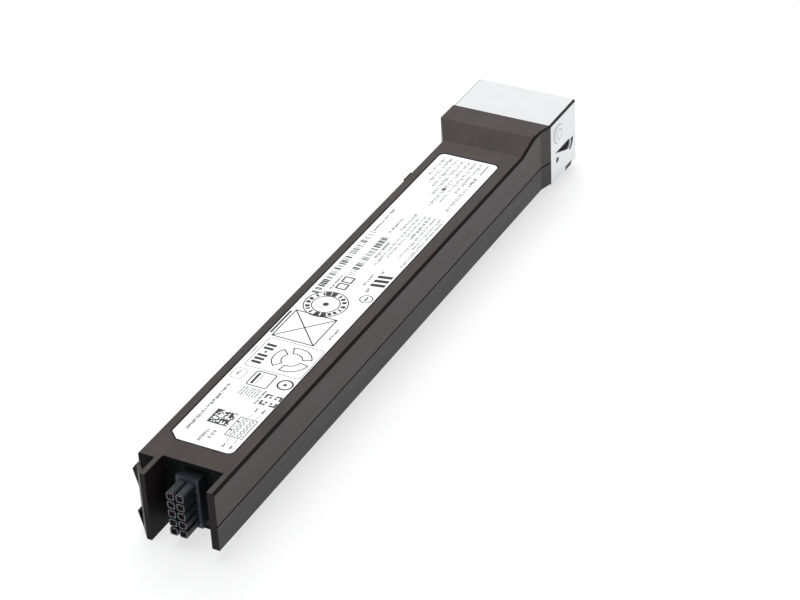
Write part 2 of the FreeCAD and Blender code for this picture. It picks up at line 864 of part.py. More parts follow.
def lathe(profile, base, axis):
    """A solid turned about an axis through base, from (radius, height) corners."""
    corners = [Vector(float(radius), 0, float(height)) for radius, height in profile]
    face = Part.Face(Part.makePolygon(corners + corners[:1]))
    solid = face.revolve(Vector(0, 0, 0), Vector(0, 0, 1), 360)
    solid.Placement = Placement(Vector(*(float(value) for value in base)),
                                Rotation(Vector(0, 0, 1), axis))
    return solid


def block(left, right, front, back, low, high):
    """A plain box between six places in the case frame."""
    left, right, front, back, low, high = (float(value) for value in
                                           (left, right, front, back, low, high))
    return Part.makeBox(right - left, back - front, high - low, Vector(left, front, low))


def rod(radius, start, end):
    start = Vector(*(float(value) for value in start))
    end = Vector(*(float(value) for value in end))
    return Part.makeCylinder(float(radius), (end - start).Length, start, end - start)


def cap_rivets():
    """Rivets through the cap's sides and the upper shell's walls."""
    grip = cap_offset + S.side_wall
    profile = [
        (0, -grip),
        (S.rivet_shank, -grip),
        (S.rivet_shank, 0),
        (S.rivet_radius, 0),
        (S.rivet_radius * 0.7, S.rivet_dome),
        (0, S.rivet_dome),
    ]
    along, height = rivet_place
    right = lathe(profile, (head_right, along, height), Vector(1, 0, 0))
    left = lathe(profile, (head_left, along, height), Vector(-1, 0, 0))
    settle_shape(Part.makeCompound([right, left]), "cap_rivets")


def octagon(centre, half, corner):
    """The corners of a square with its own corners cut off."""
    x, y = centre
    flat = half - corner
    return [
        (x - flat, y - half),
        (x + flat, y - half),
        (x + half, y - flat),
        (x + half, y + flat),
        (x + flat, y + half),
        (x - flat, y + half),
        (x - half, y + flat),
        (x - half, y - flat),
    ]


def tail_holes(body, name, level, depth):
    """Square holes for the contacts' tails."""
    row = outlines(body, name, "XZ_Plane", [square(place, S.tail_hole / 2) for place in lowest_row],
                   level)
    repeat(body, cut(body, row, depth), "Z_Axis", S.silo_pitch, ROWS)


def connector_housing():
    """Moulded housing: ten silos on a flange plate and a block behind it."""
    body = new_body("ConnectorHousing")
    half = S.silo_width / 2
    margin = half + S.flange_margin
    left, right = silo_columns[0] - margin, silo_columns[-1] + margin
    low, high = silo_rows[0] - margin, silo_rows[-1] + margin
    plate = rectangle(body, "flange", "XZ_Plane", left, right, low, high, S.silo_length)
    add(body, plate, S.flange_thickness)
    inset = S.flange_margin / 2
    rear = rectangle(body, "housing_block", "XZ_Plane", left + inset, right - inset,
                     low + inset, high - inset, S.silo_length + S.flange_thickness)
    add(body, rear, board_front - S.silo_length - S.flange_thickness)
    silos = outlines(body, "silos", "XZ_Plane",
                     [octagon(place, half, S.silo_corner) for place in lowest_row])
    repeat(body, add(body, silos, S.silo_length), "Z_Axis", S.silo_pitch, ROWS)
    bores = outlines(body, "silo_bores", "XZ_Plane",
                     [octagon(place, S.silo_bore / 2, S.bore_corner) for place in lowest_row])
    repeat(body, cut(body, bores, S.silo_depth), "Z_Axis", S.silo_pitch, ROWS)
    tail_holes(body, "housing_tail_holes", 0, board_front)
    settle(body, "connector_housing")


def connector_contacts():
    """Box sockets with square tails that pass through the standing board."""
    contacts = []
    half = S.socket_width / 2
    bore = S.socket_bore / 2
    tail = S.tail_width / 2
    for x, z in silo_places:
        socket = block(x - half, x + half, S.socket_setback, S.silo_depth, z - half, z + half)
        socket = socket.cut(block(x - bore, x + bore, S.socket_setback - 1,
                                  S.silo_depth - S.socket_setback, z - bore, z + bore))
        pin = block(x - tail, x + tail, S.silo_depth - S.socket_setback / 2,
                    board_back + S.tail_stub, z - tail, z + tail)
        contacts.append(socket.fuse(pin).removeSplitter())
    settle_shape(Part.makeCompound(contacts), "connector_contacts")


# Angled header between the two boards: two rows of three square pins
PIN_ROWS = 2
PIN_COLUMNS = 3
header_middle = connector_middle - S.link_header_offset
header_reach = S.link_pin_pitch * (PIN_COLUMNS / 2)
header_back = board_back + S.link_header_depth
header_top = board_top + S.link_pin_height * 2 + S.link_pin_pitch
pin_columns = [header_middle + S.link_pin_pitch * (column - (PIN_COLUMNS - 1) / 2)
               for column in range(PIN_COLUMNS)]
pin_heights = [board_top + S.link_pin_height + S.link_pin_pitch * row for row in range(PIN_ROWS)]
leg_places = [header_back + S.link_pin_width + S.link_pin_pitch * row for row in range(PIN_ROWS)]
pin_hole = S.link_pin_width / 2 + S.pin_hole_gap


def connector_board():
    """Standing circuit board that carries the connector and closes the notch."""
    body = new_body("ConnectorBoard")
    edge = S.board_slot_depth - S.board_clearance
    plan = rectangle(body, "standing_board", "XZ_Plane", prong_right - edge, belly_right + edge,
                     floor_top, roof_inside - S.board_clearance, board_front)
    add(body, plan, S.board_thickness)
    tail_holes(body, "board_tail_holes", board_front, S.board_thickness)
    cut(body, outlines(body, "link_holes", "XZ_Plane", [square((x, z), pin_hole)
                                                        for x in pin_columns
                                                        for z in pin_heights], board_front),
        S.board_thickness)
    settle(body, "connector_board")


def control_board():
    """Flat board on the posts, with a tongue that reaches the standing board's header."""
    body = new_body("ControlBoard")
    tongue_left = middle - S.tongue_width / 2
    tongue_right = middle + S.tongue_width / 2
    plan = outline(body, "control_plan", "XY_Plane", [
        (tongue_left, S.tongue_front),
        (tongue_right, S.tongue_front),
        (tongue_right, control_start),
        (board_right, control_start),
        (board_right, control_end),
        (board_left, control_end),
        (board_left, control_start),
        (tongue_left, control_start),
    ], S.control_board_height)
    add(body, plan, S.board_thickness)
    cut(body, circles(body, "board_screw_holes", "XY_Plane", post_screws, screw_hole, board_top),
        S.board_thickness)
    cut(body, outlines(body, "leg_holes", "XY_Plane", [square((x, y), pin_hole)
                                                       for x in pin_columns
                                                       for y in leg_places], board_top),
        S.board_thickness)
    settle(body, "control_board")


def link_header():
    """Header block with its six pins, each bent down into the control board."""
    header = block(header_middle - header_reach, header_middle + header_reach,
                   board_back, header_back, board_top, header_top)
    half = S.link_pin_width / 2
    pins = []
    for x in pin_columns:
        for height, leg in zip(pin_heights, leg_places):
            header = header.cut(block(x - pin_hole, x + pin_hole, board_back, header_back,
                                      height - pin_hole, height + pin_hole))
            flat = block(x - half, x + half, board_front, leg + half,
                         height - half, height + half)
            down = block(x - half, x + half, leg - half, leg + half,
                         S.control_board_height, height + half)
            pins.append(flat.fuse(down).removeSplitter())
    settle_shape(header, "link_header")
    settle_shape(Part.makeCompound(pins), "link_pins")


def board_place(across, along):
    """A place on the control board, from its left front corner, in shares of its size."""
    return board_left + board_width * across, control_start + S.control_board_length * along


def on_board(name, centre, width, length, height):
    """A component body on the control board, its top edges chamfered."""
    x, y = centre
    body = new_body("Component_" + name)
    plan = rectangle(body, name + "_plan", "XY_Plane", x - width / 2, x + width / 2,
                     y - length / 2, y + length / 2, board_top)
    add(body, plan, height)
    top = board_top + height
    soften(body, "Chamfer", lambda point, run: near(point.z, top), height * 0.2)
    settle(body, name)


def component_group(name, centres, width, length, height):
    """Small like components on the control board, one solid each."""
    bodies = [block(x - width / 2, x + width / 2, y - length / 2, y + length / 2,
                    board_top, board_top + height) for x, y in centres]
    settle_shape(Part.makeCompound(bodies), name)


def board_components():
    on_board("charger_chip", board_place(0.33, 0.30), S.charger_side, S.charger_side,
             S.chip_height)
    on_board("gauge_chip", board_place(0.70, 0.24), S.gauge_side, S.gauge_side, S.chip_height)
    on_board("power_inductor", board_place(0.67, 0.56), S.inductor_side, S.inductor_side,
             S.inductor_height)
    on_board("thermal_fuse", board_place(0.29, 0.58), S.fuse_width, S.fuse_length,
             S.fuse_height)
    front_pair = [board_place(across, 0.09) for across in (0.24, 0.40)]
    right_pair = [board_place(0.88, along) for along in (0.44, 0.64)]
    component_group("power_transistors", front_pair + right_pair, S.transistor_width,
                    S.transistor_length, S.chip_height)
    component_group("sense_resistors", [board_place(0.47, along) for along in (0.55, 0.67)],
                    S.resistor_width, S.resistor_length, S.resistor_height)
    middle_row = [board_place(0.49 + 0.06 * step, 0.36) for step in range(3)]
    left_row = [board_place(0.13, 0.30 + 0.07 * step) for step in range(5)]
    component_group("chip_capacitors", middle_row + left_row, S.capacitor_width,
                    S.capacitor_length, S.capacitor_height)


def lead_header():
    """Wire header at the board's rear edge."""
    body = new_body("LeadHeader")
    half = S.lead_header_width / 2
    plan = rectangle(body, "lead_header_plan", "XY_Plane", middle - half, middle + half,
                     control_end - S.lead_header_depth, control_end, board_top)
    add(body, plan, S.lead_header_height)
    settle(body, "lead_header")


def screw(place, seat, tip):
    """A pan-head screw: seat is the level under its head, tip the shank's end."""
    x, y = place
    up = 1 if float(tip) > float(seat) else -1
    head = rod(S.screw_head_radius, (x, y, seat - S.screw_head_height * up), (x, y, seat))
    shank = rod(S.screw_radius, (x, y, seat), (x, y, tip))
    return head.fuse(shank)


def screws():
    case = [screw(place, S.screw_recess, seam + S.screw_engagement) for place in screw_places]
    settle_shape(Part.makeCompound(case), "case_screws")
    bottom = S.control_board_height - post_hole_depth + S.board_thickness
    board = [screw(place, board_top, bottom) for place in post_screws]
    settle_shape(Part.makeCompound(board), "board_screws")


def round_bar(label, radius, x, height, start, end):
    """A round bar straight along the module, between two places."""
    bar = document.addObject("Part::Cylinder", "Bar_" + label)
    bar.setExpression("Radius", as_size(radius).text)
    bar.setExpression("Height", (end - start).text)
    bar.Placement = Placement(Vector(0, 0, 0), Rotation(Vector(1, 0, 0), -90))
    settle(bar, label, (x, start, height))


def cells():
    """Round cells in two rows of three."""
    for station, place in enumerate(("front", "middle", "rear")):
        front = cell_start + station_pitch * station
        for side, x in zip(("left", "right"), cell_columns):
            round_bar("cell_%s_%s" % (side, place), S.cell_radius, x, seam, front,
                      front + S.cell_length)


positive_x = middle + S.strip_width * 0.8


def nickel_strip(label, front_face, back_face, tab_x, tab_width, tab_top):
    """A strip across both rows, folded where it joins two stations, with a solder tab on top."""
    half_width = S.strip_width / 2
    left = cell_columns[0] - half_width
    right = cell_columns[1] + half_width
    low, high = seam - half_width, seam + half_width
    solid = block(left, right, front_face, front_face + S.strip_thickness, low, high)
    if back_face is not None:
        rear = block(left, right, back_face - S.strip_thickness, back_face, low, high)
        fold = block(left, right, front_face, back_face, high - S.strip_thickness, high)
        solid = solid.fuse([rear, fold])
    tab = block(tab_x - tab_width / 2, tab_x + tab_width / 2, front_face,
                front_face + S.strip_thickness, high - S.strip_thickness, tab_top)
    settle_shape(solid.fuse(tab).removeSplitter(), label)


def nickel_strips():
    tab_top = seam + S.sense_above_seam + S.sense_radius * 2
    tab = S.strip_width / 2
    narrow = S.sense_radius * 3
    nickel_strip("strip_front", cell_start - S.strip_thickness, None, positive_x, tab,
                 seam + S.strip_width / 2)
    first_gap = cell_start + S.cell_length
    nickel_strip("strip_middle_front", first_gap, first_gap + S.cell_gap,
                 middle - S.sense_spread, narrow, tab_top)
    second_gap = first_gap + station_pitch
    nickel_strip("strip_middle_rear", second_gap, second_gap + S.cell_gap,
                 middle + S.sense_spread, narrow, tab_top)
    nickel_strip("strip_rear", cells_end, None, middle, tab, tab_top - S.sense_radius)


def leads():
    """Insulated leads from the wire header to the strips, and the thermistor's."""
    back = control_end
    high = seam + S.lead_above_seam
    round_bar("positive_lead", S.lead_radius, positive_x, seam + S.lead_radius, back,
         cell_start - S.strip_thickness)
    round_bar("negative_lead", S.lead_radius, middle, high, back, cells_end)
    sense = seam + S.sense_above_seam
    first_gap = cell_start + S.cell_length
    round_bar("sense_lead_front", S.sense_radius, middle - S.sense_spread, sense, back, first_gap)
    round_bar("sense_lead_rear", S.sense_radius, middle + S.sense_spread, sense, back,
         first_gap + station_pitch)
    low = seam - S.thermistor_below_seam
    round_bar("thermistor_lead", S.sense_radius, middle, low, control_end - S.post_inset,
         thermistor_start)
    round_bar("thermistor", S.thermistor_radius, middle, low, thermistor_start,
         thermistor_start + S.thermistor_length)


def foam_pads():
    """Foam that presses the rows together, in front of them and behind."""
    half = S.cell_radius + S.strip_width / 2
    top = seam - S.cradle_below_seam
    front = block(middle - half, middle - S.channel_low_half_width, stop_rib_front + S.stop_rib,
                  cell_start - S.strip_thickness, S.cell_radius, top)
    other = block(middle + S.channel_low_half_width, middle + half, stop_rib_front + S.stop_rib,
                  cell_start - S.strip_thickness, S.cell_radius, top)
    settle_shape(Part.makeCompound([front, other]), "foam_front")
    rear = block(middle - half, middle + half, cells_end + S.strip_thickness, rear_wall,
                 S.cell_radius, seam + S.cradle_below_seam)
    settle_shape(rear, "foam_rear")


lower_case()
upper_case()
label()
end_cap()
cap_rivets()
connector_housing()
connector_contacts()
connector_board()
control_board()
link_header()
board_components()
lead_header()
screws()
cells()
nickel_strips()
leads()
foam_pads()
document.recompute()

for item in document.Objects:
    if "Invalid" in item.State or "Error" in item.State:
        raise ValueError("%s failed: %s" % (item.Label, item.State))
os.makedirs("parts", exist_ok=True)
for label_text, item in parts.items():
    if item.Shape.isNull() or not item.Shape.isValid():
        raise ValueError("%s has no sound shape" % label_text)
for label_text, item in parts.items():
    item.Shape.exportStep("parts/%s.step" % label_text)
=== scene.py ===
import math
import random

import bmesh
import bpy
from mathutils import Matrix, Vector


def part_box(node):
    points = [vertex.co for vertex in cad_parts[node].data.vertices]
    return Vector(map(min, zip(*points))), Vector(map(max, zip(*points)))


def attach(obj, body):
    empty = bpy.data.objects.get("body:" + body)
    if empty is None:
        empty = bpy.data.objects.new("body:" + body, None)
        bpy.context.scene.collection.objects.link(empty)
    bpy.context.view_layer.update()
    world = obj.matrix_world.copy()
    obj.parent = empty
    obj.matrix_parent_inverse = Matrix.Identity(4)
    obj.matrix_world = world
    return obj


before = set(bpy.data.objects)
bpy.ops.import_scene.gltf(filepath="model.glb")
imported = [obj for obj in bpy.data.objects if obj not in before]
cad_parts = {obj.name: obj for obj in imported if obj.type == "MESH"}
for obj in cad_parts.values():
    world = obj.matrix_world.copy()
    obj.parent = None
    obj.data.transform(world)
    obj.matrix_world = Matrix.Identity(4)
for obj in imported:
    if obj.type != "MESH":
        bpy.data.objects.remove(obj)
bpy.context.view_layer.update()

# The studio. The camera stands where the photograph's stood, solved from the module's own straight
# edges. A white surround is what the camera and the reflections see; to everything else it is dim,
# and two softboxes that aren't mirrored in the module do the lighting.

CAMERA_PLACE = (0.448520, -0.768608, 0.607647)
CAMERA_TURN = (0.9815352, 0.0427943, 0.4837773)
CAMERA_LENS = 113.985
SENSOR_WIDTH = 36.0
WHITE = (1.0, 1.0, 1.0)
SKY_TINT = (0.94, 0.96, 1.0)
SKY_STRENGTH = 0.42
# Each softbox: place, side in metres, power in watts
SOFTBOXES = {"back_left_softbox": ((-0.55, 0.95, 1.0), 1.0, 17.0),
             "top_softbox": ((-0.25, -0.1, 1.3), 0.8, 9.0)}


class Shade:
    """One output socket of a node tree, which can be used in sums."""

    def __init__(self, tree, socket):
        self.tree = tree
        self.socket = socket

    def maths(self, operation, *others):
        values = dict(enumerate((self,) + others))
        return add_node(self.tree, "Math", {"operation": operation}, values)

    def __add__(self, other):
        return self.maths("ADD", other)

    def __sub__(self, other):
        return self.maths("SUBTRACT", other)

    def __mul__(self, other):
        return self.maths("MULTIPLY", other)

    def __lt__(self, other):
        return self.maths("LESS_THAN", other)

    def __gt__(self, other):
        return self.maths("GREATER_THAN", other)

    __radd__ = __add__
    __rmul__ = __mul__

    def __rsub__(self, other):
        return self * -1.0 + other

    def size(self):
        return self.maths("ABSOLUTE")

    def or_more(self, other):
        return self.maths("MAXIMUM", other)

    def within(self, low, high):
        """From 0 below low to 1 above high, without a step."""
        return add_node(self.tree, "MapRange", {"interpolation_type": "SMOOTHSTEP"},
                        {"Value": self, "From Min": low, "From Max": high})


def plug(tree, socket, value):
    """Gives a socket a value, or a link to another node."""
    if isinstance(value, Shade):
        tree.links.new(value.socket, socket)
    elif socket.type == "RGBA":
        socket.default_value = (*value, 1.0)
    else:
        socket.default_value = value


def add_node(tree, kind, settings=None, sockets=None, out=0):
    """Any node: its settings first, then the values or links of its sockets."""
    made = tree.nodes.new("ShaderNode" + kind)
    for name, value in (settings or {}).items():
        setattr(made, name, value)
    for key, value in (sockets or {}).items():
        target = made.inputs[key] if isinstance(key, int) else next(
            socket for socket in made.inputs if socket.name == key and socket.enabled)
        plug(tree, target, value)
    return Shade(tree, made.outputs[out]) if made.outputs else None


def blend(amount, low, high):
    """One shader where amount is 0 and another where it is 1."""
    return add_node(amount.tree, "MixShader", None, {0: amount, 1: low, 2: high})


def seen_or_mirrored(tree):
    """1 for rays from the camera, from a mirror or through glass, otherwise 0."""
    camera_ray, mirror_ray, glass_ray = [add_node(tree, "LightPath", out="Is %s Ray" % kind)
                                         for kind in ("Camera", "Glossy", "Transmission")]
    return camera_ray.or_more(mirror_ray).or_more(glass_ray)


def set_up_camera():
    lens = bpy.data.cameras.new("camera")
    lens.lens = CAMERA_LENS
    lens.sensor_width = SENSOR_WIDTH
    camera = bpy.data.objects.new("camera", lens)
    camera.location = CAMERA_PLACE
    camera.rotation_euler = CAMERA_TURN
    scene.collection.objects.link(camera)
    scene.camera = camera


def set_up_surround():
    surround = bpy.data.worlds.new("surround")
    surround.use_nodes = True
    scene.world = surround
    tree = surround.node_tree
    tree.nodes.clear()
    dim = add_node(tree, "Background", None, {"Color": SKY_TINT, "Strength": SKY_STRENGTH})
    white = add_node(tree, "Background", None, {"Color": WHITE, "Strength": 1.0})
    add_node(tree, "OutputWorld", None, {"Surface": blend(seen_or_mirrored(tree), dim, white)})


def hang_softbox(name, place, side, power):
    """A square lamp that faces the module."""
    light = bpy.data.lights.new(name, "AREA")
    light.shape = "SQUARE"
    light.size = side
    light.energy = power
    holder = bpy.data.objects.new(name, light)
    holder.location = place
    holder.rotation_euler = (math.atan2(math.hypot(place[0], place[1]), place[2]), 0.0,
                             math.atan2(place[0], -place[1]))
    holder.visible_camera = False
    holder.visible_glossy = False
    scene.collection.objects.link(holder)


scene = bpy.context.scene
scene.view_settings.view_transform = "Standard"
set_up_camera()
set_up_surround()
for softbox, (place, side, power) in SOFTBOXES.items():
    hang_softbox(softbox, place, side, power)

# The floor: a wide sheet of matt white paper. It glows a little to the camera, so that the shadow
# stays light and the far sheet runs into the white surround, and it is seen through from below.

MM = 0.001
SAME_PLACE = 0.001 * MM
FLOOR_REACH = 3.0
PAPER = (0.92, 0.92, 0.925)
PAPER_PALE = (0.96, 0.96, 0.96)
NEAR_GLOW = 0.70
GLOW_STARTS_TO_GROW = 0.25
ALL_GLOW_FROM = 0.8


def new_material(name):
    """A material, its node tree, and the object's own coordinates in metres."""
    material = bpy.data.materials.new(name)
    material.use_nodes = True
    tree = material.node_tree
    return material, tree, add_node(tree, "TexCoord", out="Object")


def main_shader(tree):
    return Shade(tree, tree.nodes["Principled BSDF"].outputs["BSDF"])


def set_surface(tree, shader):
    plug(tree, tree.nodes["Material Output"].inputs["Surface"], shader)


def noise(where, scale, detail=2.0):
    return add_node(where.tree, "TexNoise", None,
                    {"Vector": where, "Scale": scale, "Detail": detail})


def mix(amount, low, high):
    """A colour between two colours."""
    factor, colour_a, colour_b, colour_out = 0, 6, 7, 2
    return add_node(amount.tree, "Mix", {"data_type": "RGBA"},
                    {factor: amount, colour_a: low, colour_b: high}, colour_out)


def paint(tree, sockets, relief=None, depth=0.0):
    """Sets or joins the main shader's sockets, and raises the surface by relief times depth."""
    shader = tree.nodes["Principled BSDF"]
    for name, value in sockets.items():
        plug(tree, shader.inputs[name], value)
    if relief is not None:
        bump = add_node(tree, "Bump", None, {"Height": relief, "Distance": depth})
        plug(tree, shader.inputs["Normal"], bump)


def flat_piece(name, faces, material):
    """A mesh of flat faces, given by their corners and joined where corners meet."""
    shape = bmesh.new()
    for face in faces:
        shape.faces.new([shape.verts.new(corner) for corner in face])
    bmesh.ops.remove_doubles(shape, verts=shape.verts, dist=SAME_PLACE)
    mesh = bpy.data.meshes.new(name)
    shape.to_mesh(mesh)
    shape.free()
    mesh.materials.append(material)
    piece = bpy.data.objects.new(name, mesh)
    scene.collection.objects.link(piece)
    return piece


def white_paper():
    material, tree, where = new_material("white_paper")
    paint(tree, {"Base Color": mix(noise(where, 30.0, 3.0), PAPER, PAPER_PALE),
                 "Roughness": 0.8, "Specular IOR Level": 0.2})
    glow = add_node(tree, "Emission", None, {"Color": WHITE, "Strength": 1.0})
    away = add_node(tree, "VectorMath", {"operation": "LENGTH"}, {"Vector": where}, "Value")
    far = away.within(GLOW_STARTS_TO_GROW, ALL_GLOW_FROM)
    share = seen_or_mirrored(tree) * (far * (1.0 - NEAR_GLOW) + NEAR_GLOW)
    sheet = blend(share, main_shader(tree), glow)
    from_below = add_node(tree, "NewGeometry", out="Backfacing")
    set_surface(tree, blend(from_below, sheet, add_node(tree, "BsdfTransparent")))
    return material


floor_corners = [(across * FLOOR_REACH, along * FLOOR_REACH, 0.0)
                 for across, along in ((-1, -1), (1, -1), (1, 1), (-1, 1))]
flat_piece("floor_sheet", [floor_corners], white_paper())

# The two half shells: injection-moulded flame-retardant plastic, brown-black, with a fine eroded
# texture. They close along a shadow gap at half height and are screwed together from below. Their
# long edges, the wall tips, the faces behind the hook and the inside of the notch are painted
# darker and less glossy. On the long edges this is a painted dark reflection; elsewhere it is
# painted shade.

UPPER_DARK, UPPER_PALE = (0.018, 0.012, 0.011), (0.038, 0.026, 0.025)
LOWER_DARK, LOWER_PALE = (0.011, 0.009, 0.010), (0.023, 0.018, 0.021)
# Painted shade: the near black of the darkened edges, tips, notch and the faces behind the hook
PAINTED_SHADE_BLACK = (0.006, 0.005, 0.005)
ERODED_GRAIN = 4800.0
GRAIN_DEPTH = 0.02 * MM
CLOUD_SCALE, STREAK_SCALE, STREAK_STRETCH = 60.0, 420.0, 0.06
TONE_START, TONE_SPREAD = 0.36, 3.4
EDGE_WIDTH = 0.8 * MM
ROUND_EDGE_END = 119.0 * MM     # from here a sharp edge goes on to the cap
FLARE_START = 125.2 * MM        # where the head's sides begin to flare
NOTCH_END = -146.2 * MM         # the standing board's front
TIPS_END = -155.0 * MM          # behind the wall tips' blunt ends
BODY_SIDE = 22.74 * MM
HEAD_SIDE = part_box("upper_case")[1][0]
HEAD_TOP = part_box("upper_case")[1][2]
CAP_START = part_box("end_cap")[0][1]
TIP_PAINTED_SHADE = 0.8
NOTCH_PAINTED_SHADE = 0.85
ROUNDED = (0.20, 0.34)          # how far a surface leans, from flat to a rounded edge
TURNED_NEAR = (0.6, 0.95)       # how far a surface turns to the near end
WELL_ACROSS = 2.0 * MM


def split(vector):
    """The three parts of a direction or a place."""
    return [add_node(vector.tree, "SeparateXYZ", None, {"Vector": vector}, axis)
            for axis in "XYZ"]


def facing(tree):
    """The three parts of the surface's own direction."""
    return split(add_node(tree, "NewGeometry", out="Normal"))


def drawn_noise(where, stretch, scale):
    """Streaks along the module."""
    drawn = add_node(where.tree, "Mapping", None, {"Vector": where, "Scale": (1.0, stretch, 1.0)})
    return noise(drawn, scale, 3.0)


def shell_painted_shade(tree, where):
    """Where shade is painted: 1 on the long edges and behind the hook, less on the tips and in the
    notch, otherwise 0.
    """
    to_side, to_far_end, upward = facing(tree)
    across, along, up = split(where)
    round_edge = (to_side * upward).size().within(*ROUNDED)
    side = add_node(tree, "MapRange", None, {"Value": along, "From Min": FLARE_START,
                                             "From Max": CAP_START, "To Min": BODY_SIDE,
                                             "To Max": HEAD_SIDE})
    sharp_edge = ((across - side > -EDGE_WIDTH) * (along > ROUND_EDGE_END)
                  * (up > HEAD_TOP - EDGE_WIDTH))
    faces_near = (to_far_end * -1.0).within(*TURNED_NEAR)
    tips = faces_near * TIP_PAINTED_SHADE
    behind_hook = faces_near * (along > TIPS_END)
    faces_inward = to_side * across < -WELL_ACROSS
    notch = faces_inward * (along < NOTCH_END) * NOTCH_PAINTED_SHADE
    return round_edge.or_more(sharp_edge).or_more(tips).or_more(behind_hook).or_more(notch)


def shell_plastic(name, dark, pale):
    material, tree, where = new_material(name)
    cloud = noise(where, CLOUD_SCALE, 4.0)
    streaks = drawn_noise(where, STREAK_STRETCH, STREAK_SCALE)
    tone = (cloud * 0.5 + streaks * 0.5 - TONE_START) * TONE_SPREAD
    paint(tree, {"Base Color": mix(tone, dark, pale),
                 "Roughness": streaks * 0.24 + cloud * 0.12 + 0.27,
                 "Specular IOR Level": 0.45},
          noise(where, ERODED_GRAIN) + streaks * 0.5, GRAIN_DEPTH)
    # Painted shade: a near black, less glossy surface, blended in on the edges, tips, behind the
    # hook and in the notch
    painted_shade_surface = add_node(tree, "BsdfPrincipled", None, {"Base Color": PAINTED_SHADE_BLACK, "Roughness": 0.7,
                                                   "Specular IOR Level": 0.12})
    set_surface(tree, blend(shell_painted_shade(tree, where), main_shader(tree), painted_shade_surface))
    return material


def dress(node, material):
    """Gives a CAD node its one material."""
    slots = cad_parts[node].data.materials
    slots.clear()
    slots.append(material)


dress("upper_case", shell_plastic("upper_plastic", UPPER_DARK, UPPER_PALE))
dress("lower_case", shell_plastic("lower_plastic", LOWER_DARK, LOWER_PALE))

# The label: a white film, stuck in the roof's recess, 0.15 mm below its lip. It is blank here; its
# print is a layer of its own.

FILM_WHITE, FILM_PALE = (0.86, 0.86, 0.86), (0.91, 0.91, 0.905)
FILM_GRAIN, FILM_GRAIN_DEPTH = 2500.0, 0.01 * MM


def label_film():
    material, tree, where = new_material("label_film")
    cloud = noise(where, 40.0, 3.0)
    paint(tree, {"Base Color": mix(cloud, FILM_WHITE, FILM_PALE),
                 "Roughness": cloud * 0.12 + 0.4, "Specular IOR Level": 0.4},
          noise(where, FILM_GRAIN), FILM_GRAIN_DEPTH)
    return material


dress("label", label_film())

# The label's print: one thin layer of dark ink, in plain dashes, bars, frames and rings. Each
# place in these tables is in mm, across and along the film from its near left corner.

PRINT_SEED = 7
INK_THICKNESS = 0.02 * MM
INK_BODY = 0.9 * INK_THICKNESS
INK_DARK, INK_PALE = (0.012, 0.012, 0.013), (0.025, 0.025, 0.026)
INK_SPREAD = 900.0

# Strokes: width, whether the line closes, points
STROKES = (
    # the plan of the connector, with a line inside its frame and four callouts
    (0.35, True, ((19.6, 10.0), (19.6, 22.4), (27.2, 22.4), (27.2, 10.0))),
    (0.2, False, ((20.8, 10.2), (20.8, 22.2))),
    (0.2, False, ((23.0, 6.0), (22.4, 9.4))), (0.2, False, ((22.4, 23.0), (23.0, 26.2))),
    (0.2, False, ((26.2, 6.0), (25.6, 9.4))), (0.2, False, ((25.6, 23.0), (26.2, 26.2))),
    # the broken square's four corners
    (0.85, False, ((24.1, 33.0), (21.7, 33.0), (21.7, 35.4))),
    (0.85, False, ((25.7, 33.0), (28.1, 33.0), (28.1, 35.4))),
    (0.85, False, ((24.1, 39.4), (21.7, 39.4), (21.7, 37.0))),
    (0.85, False, ((25.7, 39.4), (28.1, 39.4), (28.1, 37.0))),
    # the line in the small frame
    (0.2, False, ((13.6, 43.6), (13.6, 50.6))),
    # the crossed box
    (0.55, True, ((2.6, 75.6), (21.6, 75.6), (21.6, 95.4), (2.6, 95.4))),
    (0.55, False, ((2.6, 75.6), (21.6, 95.4))), (0.55, False, ((2.6, 95.4), (21.6, 75.6))),
    # two small boxes, and the line at the far end
    (0.7, True, ((9.4, 116.4), (13.6, 116.4), (13.6, 120.2), (9.4, 120.2))),
    (0.7, True, ((9.4, 121.6), (13.6, 121.6), (13.6, 125.4), (9.4, 125.4))),
    (0.5, False, ((24.4, 221.0), (24.4, 229.6))),
)
# Bars: left, right, near, far
BARS = (
    (19.7, 20.8, 13.4, 14.1), (19.7, 20.8, 19.0, 19.7),             # the plan's two legs
    (23.3, 24.3, 34.0, 35.0), (25.5, 26.5, 34.0, 35.0),             # inside the broken square
    (23.3, 24.3, 37.4, 38.4), (25.5, 26.5, 37.4, 38.4),
    (11.2, 12.3, 43.2, 50.8), (0.6, 1.5, 77.0, 94.0),               # beside the two boxes
    (24.8, 25.5, 112.3, 115.5),                                     # in the small ring
    (1.6, 4.8, 158.2, 158.6), (1.6, 4.8, 160.4, 160.8), (14.2, 16.0, 203.4, 204.8),
)
# Heavy blocks in a row: left, height, near, far, block, gap
BLOCK_ROWS = ((4.0, 4.4, 56.0, 62.6, 1.5, 1.0), (5.8, 0.9, 63.6, 65.0, 1.4, 1.0),
              (4.0, 4.4, 66.0, 71.8, 1.5, 1.0))
# Frames with round corners: left, right, near, far, corner radius, line width
ROUND_FRAMES = ((10.0, 18.9, 42.2, 51.8, 1.0, 0.5), (1.0, 6.6, 43.6, 50.8, 2.2, 0.2),
                (2.8, 28.1, 53.1, 74.1, 1.6, 0.25))
# The chequered square: its near left corner, side and squares in a side
CHEQUERED = ((8.8, 14.6), 9.0, 14)
# The ring of blocks: its centre and radius, its blocks, and the sweeps and widths of heavy and
# light ones. Of each half ring's nine blocks the two in the middle are heavy.
BLOCK_RING, BLOCK_RADIUS = (11.7, 103.9), 7.6
BLOCKS, BLOCKS_IN_HALF, HEAVY_BLOCKS = 18, 9, (4, 5)
BLOCK_SHIFT, HEAVY_SWEEP, LIGHT_SWEEP = 4.0, 17.0, (6.0, 13.0)
HEAVY_WIDTH, LIGHT_WIDTH = 2.7, 1.9
